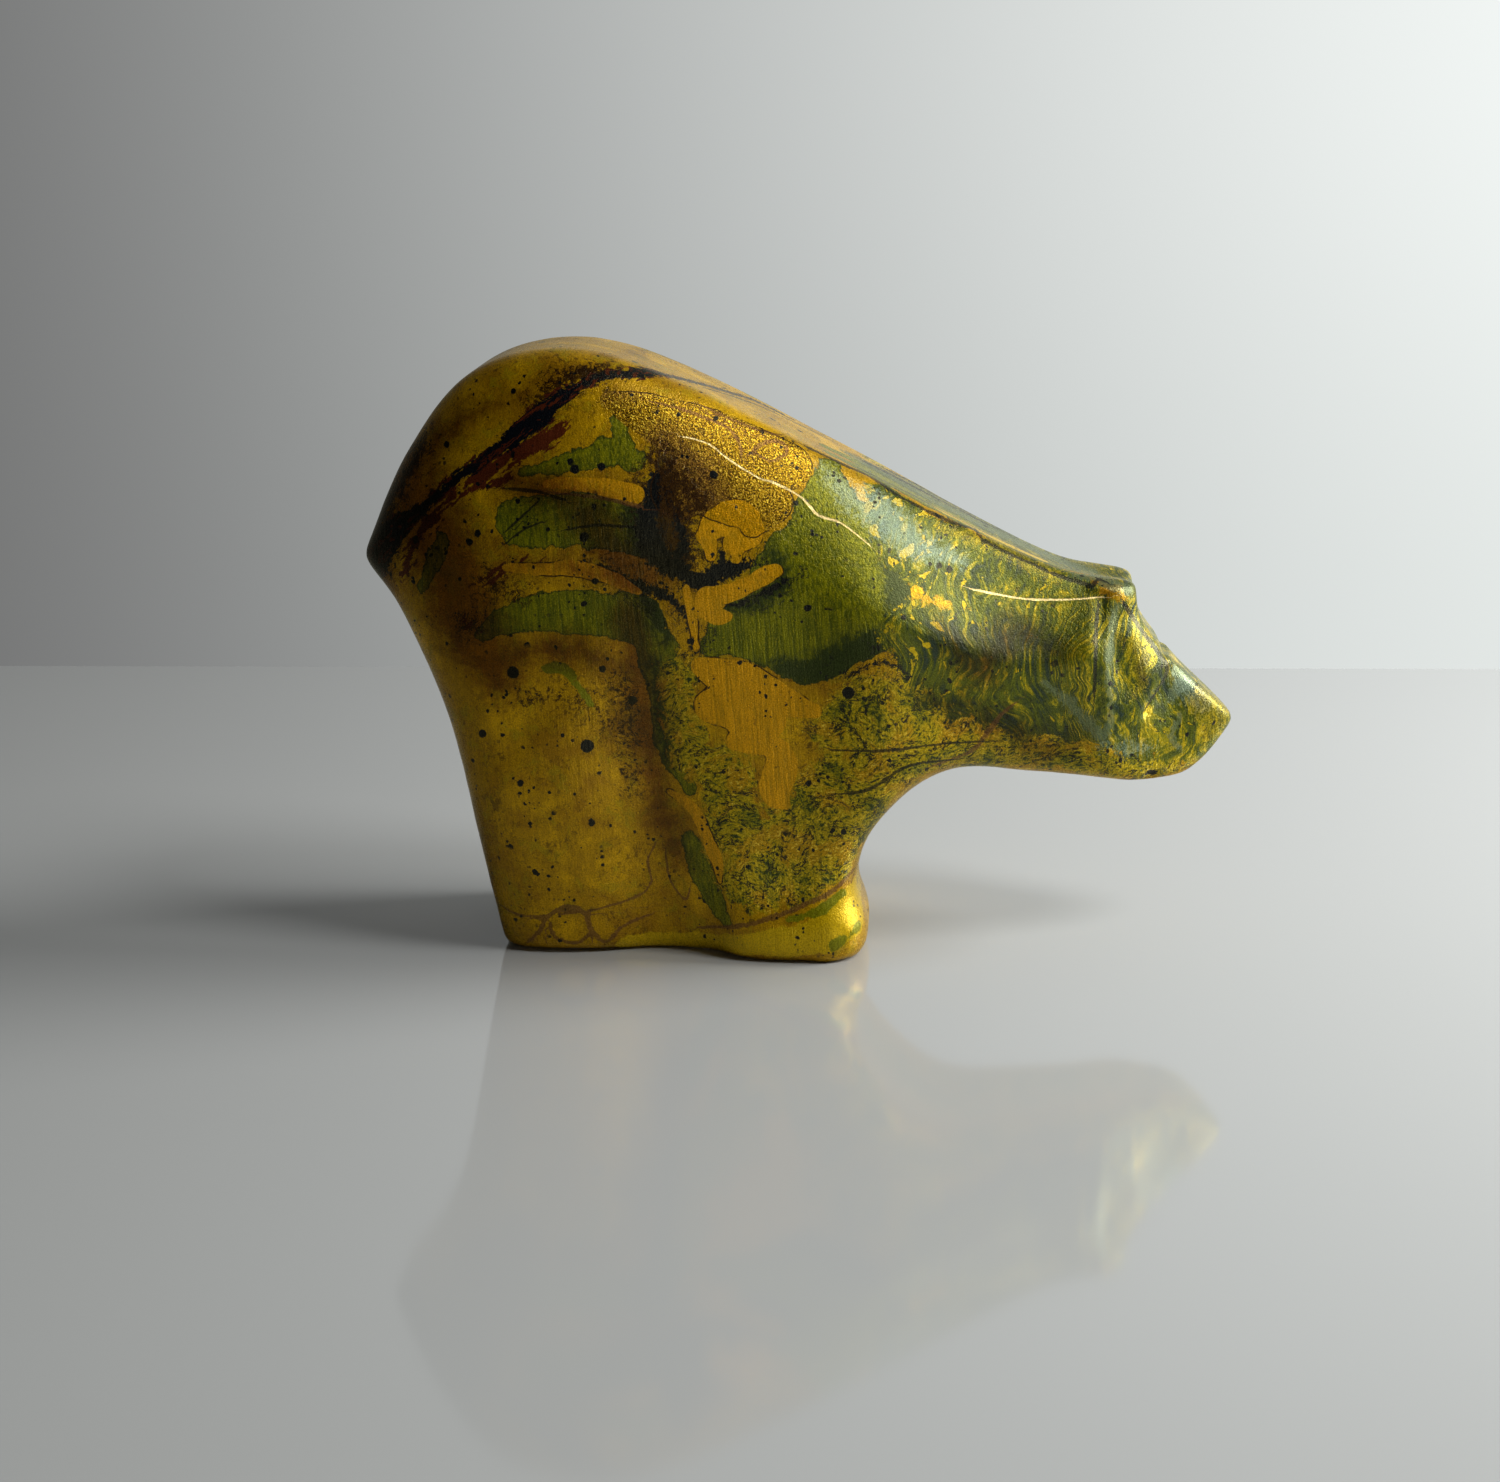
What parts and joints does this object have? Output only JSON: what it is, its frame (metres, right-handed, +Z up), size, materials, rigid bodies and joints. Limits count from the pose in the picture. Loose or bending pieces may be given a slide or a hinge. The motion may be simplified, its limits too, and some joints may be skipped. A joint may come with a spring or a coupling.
{
  "type": "bear figurine",
  "caption": "Small standing bear carved from one block of soapstone, with a high rounded back, a lowered head and a flat underside.",
  "frame": {"origin": "on the ground under the middle of the bear's box", "axes": "+X from tail to nose, +Y across towards the bear's left side, +Z up"},
  "size_m": [0.109, 0.0386, 0.0754],
  "materials": {
    "marbled_stone": "soapstone under marbled ochre, green and dark veined colour with gold flecks and a glossy clear coat"
  },
  "bodies": {
    "root": {"bear": "marbled_stone"}
  },
  "joints": []
}
